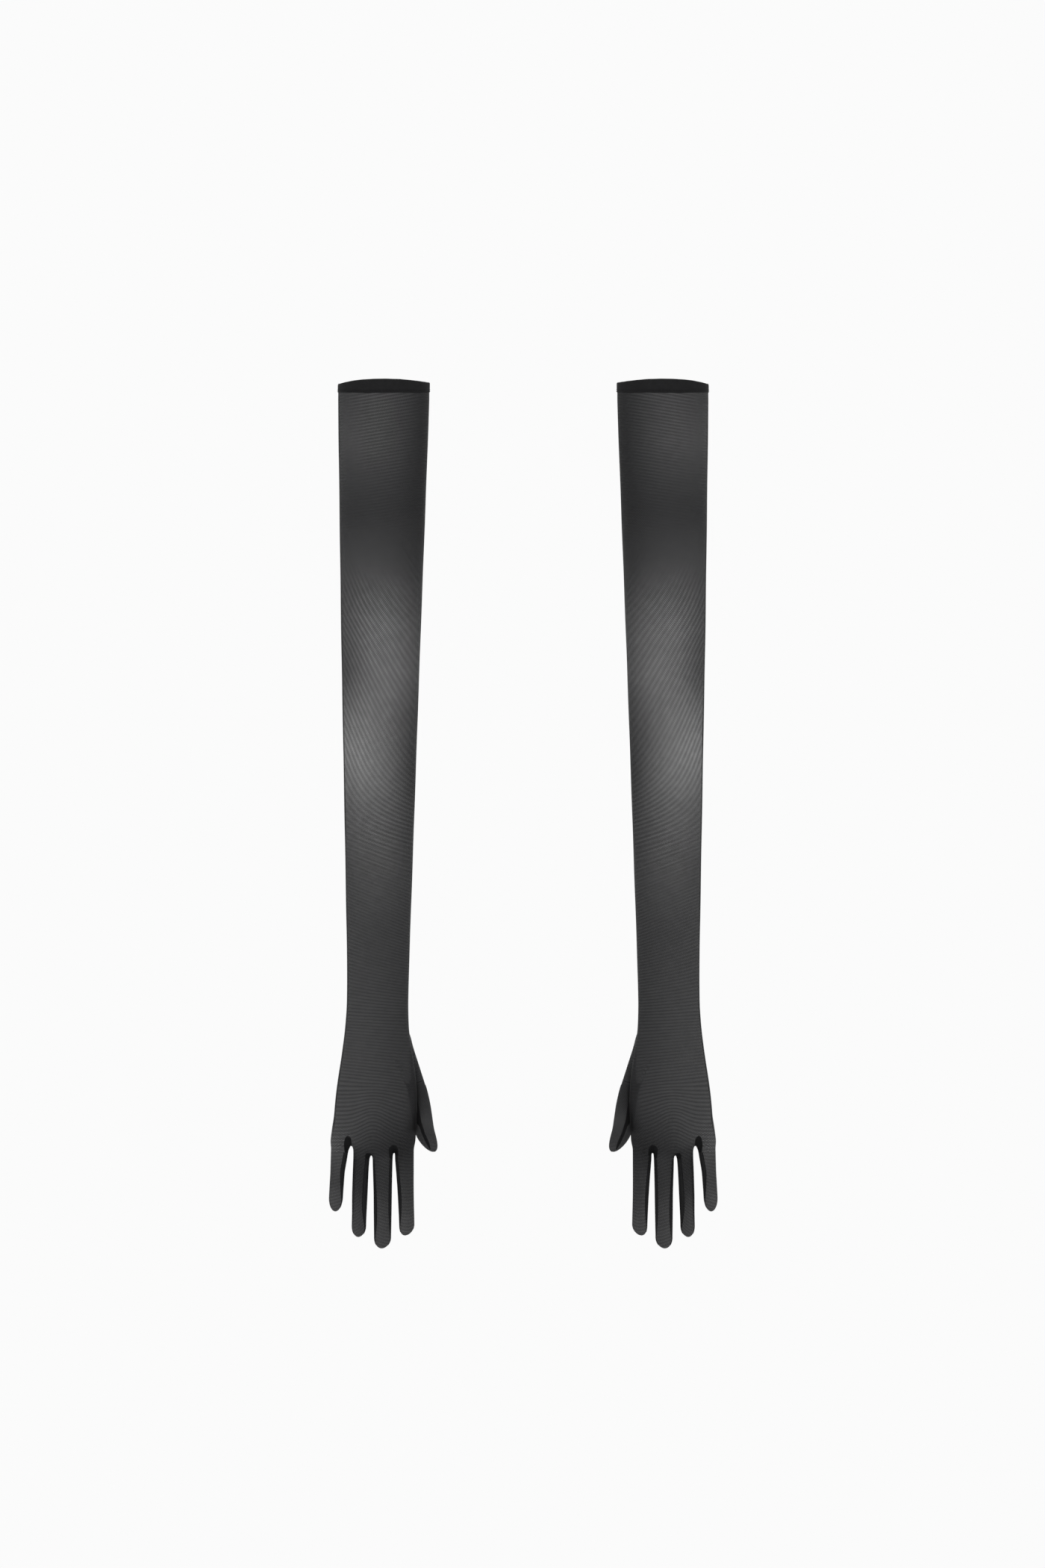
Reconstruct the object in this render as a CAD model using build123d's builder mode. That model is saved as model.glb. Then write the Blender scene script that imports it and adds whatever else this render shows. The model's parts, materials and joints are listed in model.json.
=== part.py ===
"""A pair of opera-length stretch-mesh gloves, held up as two arms hold them.

Row frame: +Z up towards the arm openings, the backs of the hands face -Y, the palms face +Y, and the
wearer's right glove lies on the -X side. The origin is midway between the two arm openings, in the plane
of their rims. The right glove is drawn, and the left one is its mirror image in the YZ plane.

Each glove is a cloth shell. It is cut into segments at the places where it folds: elbow, wrist, finger
roots, finger middles, thumb root and thumb tip. A segment turns about the crease on the inner side of its
fold, so the cut faces part from each other and never meet.
"""

import math
import os
from dataclasses import dataclass

from build123d import *

# ---------------------------------------------------------------- driving dimensions, in millimetres
LENGTH = 680.0  # rim of the arm opening to the tip of the middle finger
PAIR_SPACING = 219.0  # between the centres of the two arm openings
CLOTH = 0.4  # thickness of the mesh cloth
FOLD_GAP = 0.5  # between the segments each side of a fold

ARM_RADIUS = 36.2  # outside of the sleeve at the arm opening
WRIST_WIDE = 24.0  # half width of the sleeve at the wrist
WRIST_DEEP = 19.0  # half depth there
WRIST_SHIFT = 4.8  # how far the wrist lies outwards of the arm opening
ELBOW_Z = -250.0
WRIST_Z = -488.0

HEM_HEIGHT = 8.0
HEM_INNER_RADIUS = 34.8
ELASTIC_HEIGHT = 6.0
ELASTIC_THICKNESS = 0.55
THREAD_RADIUS = 0.15
STITCH_ROW_PITCH = 1.6  # between the two needle rows of the hem

SEAM_WIDTH = 3.0  # allowance of a closed seam, lying inside the cloth
SEAM_THICKNESS = 0.5
SEAM_CLEARANCE = 0.06
FOURCHETTE_WIDTH = 7.0  # strip between the back and the palm of a finger

OPENING_X = -PAIR_SPACING / 2  # centre of the right arm opening
TOP = 1.0  # cutting tools reach this far past what they cut


@dataclass
class Finger:
    """A finger of the right glove: centre lines, widths and where it folds."""

    name: str
    root_x: float
    tip_x: float
    root_wide: float  # half width where it leaves the hand
    tip_wide: float  # half width at the middle of the fingertip's dome
    root_z: float  # fold at the root
    middle_z: float  # fold at the middle
    end_z: float
    fourchettes: tuple  # sides that carry a sewn strip: -1 towards -X, +1 towards +X


FINGERS = (
    Finger("index", -93.3, -91.6, 7.1, 5.9, -607.0, -631.0, -670.0, (-1,)),
    Finger("middle", -110.3, -110.6, 7.5, 6.2, -610.0, -634.5, -LENGTH, (-1, 1)),
    Finger("ring", -127.3, -129.1, 6.5, 5.4, -609.5, -633.0, -671.0, (-1, 1)),
    Finger("little", -143.9, -147.8, 6.8, 4.9, -604.5, -622.5, -651.0, (1,)),
)
FINGER_DEPTH_SHARE = 0.88  # half depth over half width
FINGER_CURL = 3.0  # a fingertip lies this far towards the palm

# Sections of the hand from the wrist to the finger roots: height, centre, half width, half depth.
HAND_SECTIONS = (
    (-480.0, -114.2, 24.0, 19.0),
    (-497.0, -114.6, 24.5, 18.6),
    (-520.0, -114.5, 27.6, 17.2),
    (-545.0, -114.3, 30.6, 15.0),
    (-570.0, -115.8, 32.0, 13.6),
    (-588.0, -117.6, 32.3, 11.6),
    (-598.0, -118.3, 32.2, 9.4),
)
HAND_END_Z = -604.0  # the web between the fingers

THUMB_START = Vector(-96.5, 17.5, -508.0)
THUMB_END = Vector(-73.0, 13.5, -604.5)
THUMB_WIDE = 8.3
THUMB_DEEP = 7.3
THUMB_ROOT_Z = -552.0
THUMB_TIP_FOLD_Z = -575.0


# ---------------------------------------------------------------- shapes that the pieces share
def sleeve_section(z):
    """Centre x, half width and half depth of the sleeve at height z."""
    share = z / WRIST_Z
    return (
        OPENING_X - WRIST_SHIFT * share,
        ARM_RADIUS + (WRIST_WIDE - ARM_RADIUS) * share,
        ARM_RADIUS + (WRIST_DEEP - ARM_RADIUS) * share,
    )


def sleeve_body(top, bottom, inset):
    """Solid cone of the sleeve between two heights, its surface inset by so much."""
    with BuildPart() as body:
        for z in (top, bottom):
            x, wide, deep = sleeve_section(z)
            with BuildSketch(Plane((x, 0, z))):
                Ellipse(wide - inset, deep - inset)
        loft(ruled=True)
    return body.part


def hand_body(inset):
    """Solid of the hand from above the wrist to the web, its surface inset by so much."""
    with BuildPart() as body:
        for z, x, wide, deep in HAND_SECTIONS:
            with BuildSketch(Plane((x, 0, z))):
                Ellipse(wide - inset, deep - inset)
        z, x, wide, deep = HAND_SECTIONS[-1]
        with BuildSketch(Plane((x, 0, HAND_END_Z + inset))):
            Ellipse(wide - 3.0 - inset, deep - 4.0 - inset)
        loft(ruled=True)
    return body.part


def finger_centre(finger, z):
    """Centre x and y of a finger at height z, from its root fold to its end."""
    share = (z - finger.root_z) / (finger.end_z - finger.root_z)
    return (
        finger.root_x + (finger.tip_x - finger.root_x) * share,
        FINGER_CURL * max(share, 0.0) ** 2,
    )


def finger_wide(finger, z):
    """Half width of a finger at height z, above the dome of its tip."""
    share = (z - finger.root_z) / (finger.end_z - finger.root_z)
    return finger.root_wide + (finger.tip_wide - finger.root_wide) * share


def finger_body(finger, top, inset):
    """Solid finger from height top to its domed end, its surface inset by so much."""
    dome_z = finger.end_z + finger.tip_wide
    dome_wide = finger_wide(finger, dome_z)
    heights = [top, finger.root_z, finger.middle_z, dome_z]
    stations = [(z, finger_wide(finger, z) - inset) for z in heights]
    for degrees in (22, 42, 60, 76):
        angle = math.radians(degrees)
        drop = (finger.tip_wide - inset) * math.sin(angle)
        stations.append((dome_z - drop, (dome_wide - inset) * math.cos(angle)))
    with BuildPart() as body:
        for z, wide in stations:
            x, y = finger_centre(finger, z)
            with BuildSketch(Plane((x, y, z))):
                Ellipse(wide, wide * FINGER_DEPTH_SHARE)
        loft(ruled=True)
    return body.part


def thumb_plane(z):
    """Section plane of the thumb where its centre line is at height z. It holds the Y direction."""
    along = THUMB_END - THUMB_START
    share = (z - THUMB_START.Z) / along.Z
    normal = Vector(along.X, 0, along.Z).normalized()
    return Plane(THUMB_START + along * share, x_dir=Vector(-normal.Z, 0, normal.X), z_dir=normal)


def thumb_body(inset):
    """Solid thumb from inside the hand to its domed end, its surface inset by so much."""
    sizes = [(-512.0, 0.9), (-530.0, 1.0), (THUMB_ROOT_Z, 1.0), (THUMB_TIP_FOLD_Z, 0.95), (-590.0, 0.83)]
    dome_z = -598.0
    for degrees in (0, 22, 42, 60, 76):
        angle = math.radians(degrees)
        sizes.append((dome_z + (THUMB_END.Z + inset - dome_z) * math.sin(angle), 0.74 * math.cos(angle)))
    with BuildPart() as body:
        for z, size in sizes:
            with BuildSketch(thumb_plane(z)):
                Ellipse(THUMB_WIDE * size - inset * min(size, 1), THUMB_DEEP * size - inset * min(size, 1))
        loft(ruled=True)
    return body.part


def slab(low, high):
    """Box between two corners, used to cut pieces out of a shell."""
    centre = [(a + b) / 2 for a, b in zip(low, high)]
    size = [b - a for a, b in zip(low, high)]
    with BuildPart() as tool:
        with Locations(tuple(centre)):
            Box(*size)
    return tool.part


def level_slab(bottom, top):
    """Everything of one glove between two heights."""
    return slab((-200, -60, bottom), (-20, 80, top))


def beyond(plane, depth=200.0):
    """A thick plate on the far side of a plane, for cutting away what lies there."""
    with BuildPart() as tool:
        with BuildSketch(plane):
            Rectangle(120, 120)
        extrude(amount=depth)
    return tool.part


# ---------------------------------------------------------------- hem and sleeve
def make_hem_band():
    """The cloth folded inwards over the elastic: two rings joined along the rim."""
    with BuildPart() as band:
        with BuildSketch(Plane.XZ) as profile:
            with Locations((ARM_RADIUS - CLOTH / 2, -HEM_HEIGHT / 2)):
                Rectangle(CLOTH, HEM_HEIGHT)
            with Locations((HEM_INNER_RADIUS + CLOTH / 2, -HEM_HEIGHT / 2)):
                Rectangle(CLOTH, HEM_HEIGHT)
            with Locations(((HEM_INNER_RADIUS + ARM_RADIUS) / 2, -CLOTH / 2)):
                Rectangle(ARM_RADIUS - HEM_INNER_RADIUS, CLOTH)
        revolve(axis=Axis.Z)
    return band.part.moved(Location((OPENING_X, 0, 0)))


def make_hem_elastic():
    """Flat elastic tape lying loose in the fold of the hem."""
    middle_radius = (HEM_INNER_RADIUS + ARM_RADIUS) / 2
    with BuildPart() as tape:
        with BuildSketch(Plane((OPENING_X, 0, -CLOTH - 0.3 - ELASTIC_HEIGHT))):
            Circle(middle_radius + ELASTIC_THICKNESS / 2)
            Circle(middle_radius - ELASTIC_THICKNESS / 2, mode=Mode.SUBTRACT)
        extrude(amount=ELASTIC_HEIGHT)
    return tape.part


def make_hem_stitching():
    """Two needle rows of thread that lie on the outside of the hem near its lower edge."""
    ring_radius = ARM_RADIUS + THREAD_RADIUS + 0.02
    with BuildPart() as rows:
        for row in (0, 1):
            height = -HEM_HEIGHT + 1.0 + row * STITCH_ROW_PITCH
            with Locations((OPENING_X, 0, height)):
                Torus(ring_radius, THREAD_RADIUS)
    return rows.part


def make_sleeve(top, bottom):
    """Cloth tube of the sleeve between two heights."""
    with BuildPart() as tube:
        add(sleeve_body(top, bottom, 0))
        add(sleeve_body(top + TOP, bottom - TOP, CLOTH), mode=Mode.SUBTRACT)
    return tube.part


def seam_strip(body, top, bottom, outer_side=-1):
    """Closed seam allowance that lies against the inside of body(inset), on its outer side."""
    with BuildPart() as strip:
        add(body(CLOTH + SEAM_CLEARANCE))
        add(body(CLOTH + SEAM_CLEARANCE + SEAM_THICKNESS), mode=Mode.SUBTRACT)
        edge = OPENING_X + outer_side * 5.0
        low, high = sorted((edge, edge + outer_side * 60.0))
        add(slab((low, -SEAM_WIDTH / 2, bottom), (high, SEAM_WIDTH / 2, top)), mode=Mode.INTERSECT)
    return strip.part


def make_sleeve_seam(top, bottom):
    """Side seam of a sleeve segment, from its top to its bottom."""
    return seam_strip(lambda inset: sleeve_body(top, bottom, inset), top - 0.2, bottom + 0.2)


# ---------------------------------------------------------------- hand
def make_hand_shell():
    """Cloth of the hand with stubs for the four fingers and the thumb, before it is cut into panels."""
    with BuildPart() as shell:
        add(hand_body(0))
        for finger in FINGERS:
            add(finger_body(finger, -590.0, 0) & level_slab(finger.root_z + FOLD_GAP / 2, -580))
        add(thumb_body(0) - beyond(thumb_plane(THUMB_ROOT_Z + FOLD_GAP / 2)))
        add(hand_body(CLOTH), mode=Mode.SUBTRACT)
        for finger in FINGERS:
            add(finger_body(finger, -590.0, CLOTH), mode=Mode.SUBTRACT)
        add(thumb_body(CLOTH), mode=Mode.SUBTRACT)
        add(level_slab(-700, WRIST_Z - FOLD_GAP / 2), mode=Mode.INTERSECT)
    return shell.part


def make_hand_panel(shell, side):
    """Back panel (side -1) or palm panel (side +1) of the hand."""
    low, high = (-60, 0) if side < 0 else (0, 80)
    with BuildPart() as panel:
        add(shell)
        add(slab((-200, low, -700), (-20, high, -400)), mode=Mode.INTERSECT)
    return panel.part


def make_hand_seam():
    """Side seam of the hand along the little finger's edge."""
    return seam_strip(hand_body, WRIST_Z - 1.0, -588.0)


def make_thumb_root_seam():
    """Ring seam that sews the thumb piece to the hand, inside the cloth at the thumb's root."""
    with BuildPart() as ring:
        add(thumb_body(CLOTH + SEAM_CLEARANCE))
        add(thumb_body(CLOTH + SEAM_CLEARANCE + SEAM_THICKNESS), mode=Mode.SUBTRACT)
        add(beyond(thumb_plane(THUMB_ROOT_Z + 3.5)), mode=Mode.INTERSECT)
        add(beyond(thumb_plane(THUMB_ROOT_Z + 1.0)), mode=Mode.SUBTRACT)
    return ring.part


# ---------------------------------------------------------------- thumb
def make_thumb_shell():
    """The whole thumb's cloth, before it is cut at its folds."""
    with BuildPart() as shell:
        add(thumb_body(0))
        add(thumb_body(CLOTH), mode=Mode.SUBTRACT)
    return shell.part


def make_thumb_base(shell):
    """Thumb between its root fold and its tip fold."""
    with BuildPart() as piece:
        add(shell)
        add(beyond(thumb_plane(THUMB_ROOT_Z - FOLD_GAP / 2)), mode=Mode.INTERSECT)
        add(beyond(thumb_plane(THUMB_TIP_FOLD_Z + FOLD_GAP / 2)), mode=Mode.SUBTRACT)
    return piece.part


def make_thumb_tip(shell):
    """Thumb beyond its tip fold, closed at the end."""
    with BuildPart() as piece:
        add(shell)
        add(beyond(thumb_plane(THUMB_TIP_FOLD_Z - FOLD_GAP / 2)), mode=Mode.INTERSECT)
    return piece.part


# ---------------------------------------------------------------- fingers
def make_finger_shell(finger):
    """A finger's whole cloth tube, closed at the tip, before it is cut."""
    with BuildPart() as shell:
        add(finger_body(finger, -590.0, 0))
        add(finger_body(finger, -590.0, CLOTH), mode=Mode.SUBTRACT)
    return shell.part


def fourchette_tools(finger, top, bottom):
    """Slanted plates that hold the sewn side strips of a finger between two heights."""
    tools = []
    half = FOURCHETTE_WIDTH / 2
    for side in finger.fourchettes:
        with BuildPart() as tool:
            for z in (top, bottom):
                x, y = finger_centre(finger, z)
                with BuildSketch(Plane((x + side * 8.0, y, z))):
                    Rectangle(12.0, 2 * half)
            loft(ruled=True)
        tools.append(tool.part)
    return tools


def make_finger_segment(shell, finger, top, bottom):
    """Cloth of the back and palm of a finger between two heights, and its side strips."""
    strip_end = max(bottom, finger.end_z + 0.6 * finger.tip_wide)
    tools = fourchette_tools(finger, top, strip_end)
    with BuildPart() as trank:
        add(shell)
        add(level_slab(bottom, top), mode=Mode.INTERSECT)
        for tool in tools:
            add(tool, mode=Mode.SUBTRACT)
    with BuildPart() as strips:
        for tool in tools:
            add(shell & tool)
    return trank.part, strips.part


# ---------------------------------------------------------------- one glove, then the pair
def make_right_glove():
    """All the pieces of the right glove, by name."""
    pieces = {
        "hem_band": make_hem_band(),
        "hem_elastic": make_hem_elastic(),
        "hem_stitching": make_hem_stitching(),
        "upper_sleeve": make_sleeve(-HEM_HEIGHT, ELBOW_Z + FOLD_GAP / 2),
        "upper_side_seam": make_sleeve_seam(-HEM_HEIGHT, ELBOW_Z + FOLD_GAP / 2),
        "forearm_sleeve": make_sleeve(ELBOW_Z - FOLD_GAP / 2, WRIST_Z + FOLD_GAP / 2),
        "forearm_side_seam": make_sleeve_seam(ELBOW_Z - FOLD_GAP / 2, WRIST_Z + FOLD_GAP / 2),
        "hand_side_seam": make_hand_seam(),
        "thumb_root_seam": make_thumb_root_seam(),
    }
    hand = make_hand_shell()
    pieces["hand_back"] = make_hand_panel(hand, -1)
    pieces["hand_palm"] = make_hand_panel(hand, 1)
    thumb = make_thumb_shell()
    pieces["thumb_base"] = make_thumb_base(thumb)
    pieces["thumb_tip"] = make_thumb_tip(thumb)
    for finger in FINGERS:
        shell = make_finger_shell(finger)
        spans = {
            "base": (finger.root_z - FOLD_GAP / 2, finger.middle_z + FOLD_GAP / 2),
            "tip": (finger.middle_z - FOLD_GAP / 2, finger.end_z - TOP),
        }
        for span, (top, bottom) in spans.items():
            trank, strips = make_finger_segment(shell, finger, top, bottom)
            pieces[f"{finger.name}_{span}"] = trank
            pieces[f"{finger.name}_{span}_fourchette"] = strips
    return pieces


os.makedirs("parts", exist_ok=True)
for name, solid in make_right_glove().items():
    with BuildPart() as right:
        add(solid)
    right.part.label = f"right_{name}"
    export_step(right.part, f"parts/{right.part.label}.step")
    with BuildPart() as left:
        add(mirror(solid, about=Plane.YZ))
    left.part.label = f"left_{name}"
    export_step(left.part, f"parts/{left.part.label}.step")
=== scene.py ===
"""Looks of a pair of opera-length gloves of sheer stretch mesh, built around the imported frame.

The right glove is worked out in millimetres in the row frame, and the left one is its mirror image.
The cloth is one smooth surface: sleeve, hand, fingers and thumb are solved from a distance field, then cut
where the glove is sewn and where a piece has to pass from one moving body to the next.
"""

import json
import math

import bpy
import numpy as np
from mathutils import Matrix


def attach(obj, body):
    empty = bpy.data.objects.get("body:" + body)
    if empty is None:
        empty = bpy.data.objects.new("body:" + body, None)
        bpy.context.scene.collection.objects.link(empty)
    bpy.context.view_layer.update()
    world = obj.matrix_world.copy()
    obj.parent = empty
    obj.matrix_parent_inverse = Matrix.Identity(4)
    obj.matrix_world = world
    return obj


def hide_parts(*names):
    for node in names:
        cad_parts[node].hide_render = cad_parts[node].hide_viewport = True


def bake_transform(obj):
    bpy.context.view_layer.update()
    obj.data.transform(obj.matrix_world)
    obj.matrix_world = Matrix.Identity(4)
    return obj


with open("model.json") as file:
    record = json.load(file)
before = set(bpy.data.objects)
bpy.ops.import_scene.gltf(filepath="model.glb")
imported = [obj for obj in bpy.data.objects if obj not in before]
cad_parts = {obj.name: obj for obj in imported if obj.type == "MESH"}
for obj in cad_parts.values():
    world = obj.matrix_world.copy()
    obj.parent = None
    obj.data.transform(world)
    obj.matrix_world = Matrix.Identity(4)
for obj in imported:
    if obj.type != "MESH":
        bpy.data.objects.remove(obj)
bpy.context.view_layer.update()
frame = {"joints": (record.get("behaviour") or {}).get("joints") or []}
MM = 0.001


def fold_height(joint_name):
    """Height of one of the right glove's folds, in millimetres."""
    joint = next(j for j in frame["joints"] if j["name"] == f"right_{joint_name}")
    return joint["pos_m"][2] / MM


ELBOW_Z = fold_height("elbow_bend")
WRIST_Z = fold_height("wrist_bend")
ELBOW_REACH = 36.0  # ends of the sleeve's span this far above and below the elbow
WRIST_REACH = 27.0
ARM_X = -112.0  # middle of the arm at the elbow, and of the wrist below
WRIST_X = -114.0
CLOTH_SLOT = "mesh_cloth"
SPLIT_Z = -440.0  # sleeve piece above, hand piece below

# Hem and seams.
HEM_LOW = -7.0  # lower edge of the hem
RIM_TOP = 3.3  # highest part of the arched rim
HEM_TILT = 0.035  # the back of the hem stands higher than its front
HEM_POINTS = 240
HEM_LAP = 1.5  # the sleeve's cloth reaches this far up under the hem
HEM_WAVE = 0.3  # unevenness of the hem's lower edge
STITCHES = 84  # in one row round the hem
HAND_SEAM_END = -592.0
HAND_SEAM_TAPER = 12.0
SEAM_STEP = 0.8
SEAM_RADIUS = 0.25

# Cloth and light.
WEAVE_PITCH = 1.16  # of the mesh's holes
WEAVE_ANGLE = math.radians(38)  # of the yarns round the holes
WHITE = 0.965  # of the surroundings
GLOSS = 0.020  # light given back by the yarn
SPECULAR = 0.04
BUMP = 0.35
EDGE_BLEND = 0.065  # the cloth closes up where it is seen edge on

# Camera, lamp and floor, in metres. The camera is so far away that nothing converges.
CAMERA_PLACE = (-0.0006, -9.0, -0.3151)
CAMERA_LENS = 262.97
LAMP_PLACE = (0, -2.4, 0.7)
LAMP_TILT = math.radians(67)
LAMP_SIZE = 1.6
LAMP_POWER = 14.0
FLOOR_HEIGHT = -0.96
FLOOR_REACH = 40.0

# The hand's cloth is solved on a grid in this box, and its parts run into each other this softly.
CELL = 1.0
HAND_BOX = ((-157, -26, -685), (-60, 30, SPLIT_Z + 5))
WEB_SOFTNESS = 5.0
FINGER_SOFTNESS = 0.8
THUMB_SOFTNESS = 8.0
FINGER_START = -585.0  # a finger's body starts inside the palm, and the thumb's inside the hand
THUMB_START = -520.0
THUMB_FORK = -546.0  # the thumb is free of the palm below this
# Crotches that the cloth gathers round: x, height.
GATHERS = ((-136.0, -600.0), (-119.9, -607.0), (-101.9, -604.0))

# Outline of arm and hand: height, outer edge, inner edge, half depth.
ARM = (
    (12, -145.7, -73.3, 36.4),
    (-16, -145.5, -73.9, 35.7),
    (-204, -143.1, -80.8, 29.0),
    (-438, -138.8, -89.1, 20.8),
    (-470, -138.4, -90.1, 19.6),
    (-490, -138.6, -90.4, 19.0),
    (-509, -140.2, -89.9, 18.2),
    (-532, -143.2, -86.4, 16.5),
    (-545, -145.3, -84.4, 15.4),
    (-559, -147.3, -83.4, 14.2),
    (-572, -148.6, -83.2, 13.0),
    (-581, -149.1, -83.8, 12.2),
    (-597, -150.3, -86.4, 9.6),
    (-612, -151.0, -86.4, 7.0),
)
# Knitted courses: height, pitch, slant across the arm, strength.
COURSES = (
    (-700, 2.6, 0.0, 0.16),
    (-612, 2.6, 0.0, 0.16),
    (-592, 2.9, 0.0, 0.19),
    (-582, 3.1, 0.0, 0.22),
    (-568, 3.4, 0.0, 0.22),
    (-556, 2.9, 0.0, 0.22),
    (-545, 2.5, 0.1, 0.20),
    (-520, 2.5, 0.1, 0.15),
    (-498, 2.5, 0.05, 0.19),
    (-430, 2.6, 0.4, 0.12),
    (-380, 2.6, 0.4, 0.06),
    (-320, 2.6, 0.2, 0.0),
    (-120, 2.6, -0.15, 0.02),
    (-70, 2.6, -0.17, 0.13),
    (20, 2.6, -0.17, 0.13),
)
# How light the cloth looks over white, 0 to 255: height, outer side, middle, inner side. Partly the sheer
# cloth letting the white through, partly painted: the lighter outer side and light band round the elbow are
# painted light, the darker inner side painted shade.
TONES = (
    (0, 60, 63, 47),
    (-45, 74, 69, 46),
    (-100, 47, 48, 41),
    (-140, 66, 64, 52),
    (-190, 84, 97, 82),
    (-230, 80, 103, 90),
    (-262, 110, 104, 72),
    (-290, 126, 107, 68),
    (-310, 114, 106, 66),
    (-335, 92, 90, 66),
    (-380, 73, 75, 64),
    (-430, 64, 59, 55),
    (-570, 67, 60, 52),
    (-590, 68, 54, 39),
    (-606, 70, 42, 35),
)
# Where the web between the fingers ends: x, height.
WEB = ((-155, -597.0), (-140, -598.5), (-134, -598.6), (-127, -603.0), (-120, -605.6), (-110, -604.5),
       (-101, -602.3), (-92, -600.0), (-80, -596.0))
# Fingers: edges at each height, start, length and lean of the rounded tip, tone at each height, the span of x
# that a finger owns, and for each side with a strip the strip's reach round to the back of the hand at the
# root, and how much of that is left near the tip. The folds come from the frame.
FINGERS = {
    "little": {
        "edges": ((-575, -146.0, -137.4), (-588, -149.2, -137.1), (-600, -151.0, -137.0),
                  (-608, -151.1, -138.4), (-620, -151.5, -140.6), (-638, -152.7, -141.8),
                  (-651, -153.1, -142.4)),
        "dome": -640.0,
        "tip": 11.2,
        "lean": 0.0,
        "tone": ((-600, 70), (-612, 66), (-628, 58), (-640, 67), (-651, 66)),
        "reach": (-170.0, -136.0),
        "strips": {1: (5.1, 0.62)},
    },
    "ring": {
        "edges": ((-575, -133.8, -120.4), (-608, -133.4, -120.9), (-620, -133.8, -121.8),
                  (-638, -134.4, -122.7), (-660, -134.6, -123.7), (-671, -134.6, -123.7)),
        "dome": -662.0,
        "tip": 9.2,
        "lean": -0.6,
        "tone": ((-600, 44), (-612, 39), (-632, 40), (-650, 54), (-671, 62)),
        "reach": (-136.0, -119.9),
        "strips": {-1: (2.4, 0.6), 1: (4.8, 1.0)},
    },
    "middle": {
        "edges": ((-575, -118.6, -102.4), (-608, -118.5, -102.7), (-620, -118.0, -103.0),
                  (-638, -117.4, -103.4), (-661, -117.3, -103.9), (-680, -117.1, -104.3)),
        "dome": -671.0,
        "tip": 9.2,
        "lean": -0.6,
        "tone": ((-600, 45), (-612, 47), (-632, 47), (-650, 56), (-680, 64)),
        "reach": (-119.9, -101.9),
        "strips": {-1: (3.9, 1.35), 1: (4.9, 0.85)},
    },
    "index": {
        "edges": ((-575, -101.4, -86.0), (-608, -100.9, -86.2), (-620, -99.9, -86.2),
                  (-638, -98.6, -86.1), (-659, -97.5, -85.7), (-670, -97.2, -85.6)),
        "dome": -661.0,
        "tip": 9.0,
        "lean": -1.6,
        "tone": ((-600, 34), (-610, 40), (-622, 47), (-640, 52), (-670, 68)),
        "reach": (-101.9, -60.0),
        "strips": {-1: (4.7, 0.92)},
    },
}
for finger_name, finger in FINGERS.items():
    finger["root"] = fold_height(f"{finger_name}_curl")
    finger["middle"] = fold_height(f"{finger_name}_bend")
FINGER_CURL = 3.0  # a fingertip lies this far towards the palm
FINGER_EASE = 0.15  # the cloth stands off the outline by this much
FINGER_DEPTH = 0.88  # of its width at the root, and less by the taper at the tip
FINGER_TAPER = 0.06
STRIP_BACK = 3.5  # reach of a strip round to the palm side
STRIP_LENGTH = 0.985  # of the finger below its root
# Where strips of neighbouring fingers meet above a crotch: x, height, half width, half height.
CROTCHES = ((-137.8, -599.2, 2.9, 7.4), (-121.6, -608.0, 2.6, 3.0), (-101.9, -604.7, 3.6, 5.9))
# Inset strip on the thumb, in the darker fourchette cloth that carries painted shade: height, left edge,
# right edge.
THUMB_STRIP = ((-562, -84.0, -83.6), (-566, -83.9, -82.8), (-572, -84.2, -81.6), (-577, -84.9, -80.9),
               (-581, -85.0, -80.2), (-584, -82.0, -79.2), (-590, -79.9, -77.3), (-597.5, -76.6, -73.9),
               (-601.5, -74.3, -73.0), (-603.5, -73.3, -73.2))
# Painted shade in the fold between hand and thumb: height, x, how much darker it looks.
THUMB_CREASE_SHADE = ((-590, -85.2, 0), (-586, -85.2, 30), (-578, -84.4, 30), (-570, -83.5, 28), (-560, -83.6, 22),
                (-545, -84.1, 16), (-530, -84.6, 0))
# Tones of the thumb: height, tone.
THUMB_TONES = ((-520, 42), (-560, 44), (-570, 50), (-580, 59), (-592, 52), (-604, 60))
# Thumb: height, inner edge, outer edge, centre y, half depth.
THUMB = (
    (-500, -106.0, -91.0, 11.5, 6.0),
    (-520, -104.0, -87.5, 14.0, 8.0),
    (-532, -100.0, -83.6, 15.4, 8.0),
    (-544, -95.0, -79.7, 16.0, 7.7),
    (-556, -91.0, -75.8, 16.0, 7.3),
    (-567, -89.0, -73.3, 15.8, 7.1),
    (-579, -87.3, -71.6, 15.3, 6.9),
    (-588, -85.7, -70.4, 14.8, 6.5),
    (-595, -83.4, -67.9, 14.3, 6.3),
    (-601, -80.5, -65.0, 13.9, 6.2),
    (-606, -77.9, -62.6, 13.6, 6.2),
)
THUMB_DOME = -588.5  # start and length of the rounded tip
THUMB_TIP = 16.0
THUMB_SEAM_END = -604.3
# Planes across the thumb: a point, and the direction of the tip.
THUMB_ROOT = ((-85.8, 15.7, -552.0), (0.2366, 0.0, -0.9716))
THUMB_MIDDLE_SPLIT = ((-82.6, 15.0, -565.0), (0.2366, 0.0, -0.9716))
THUMB_MIDDLE = (-80.2, 14.7, -575.0)  # where it bends


# ---- small helpers
def smoothstep(low, high, x):
    """0 at low, 1 at high, and a soft rise between them."""
    t = np.clip((x - low) / (high - low), 0, 1)
    return t * t * (3 - 2 * t)


def bell(x, centre, width):
    """1 at the centre, falling to nothing about two widths away."""
    return np.exp(-(((x - centre) / width) ** 2))


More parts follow.
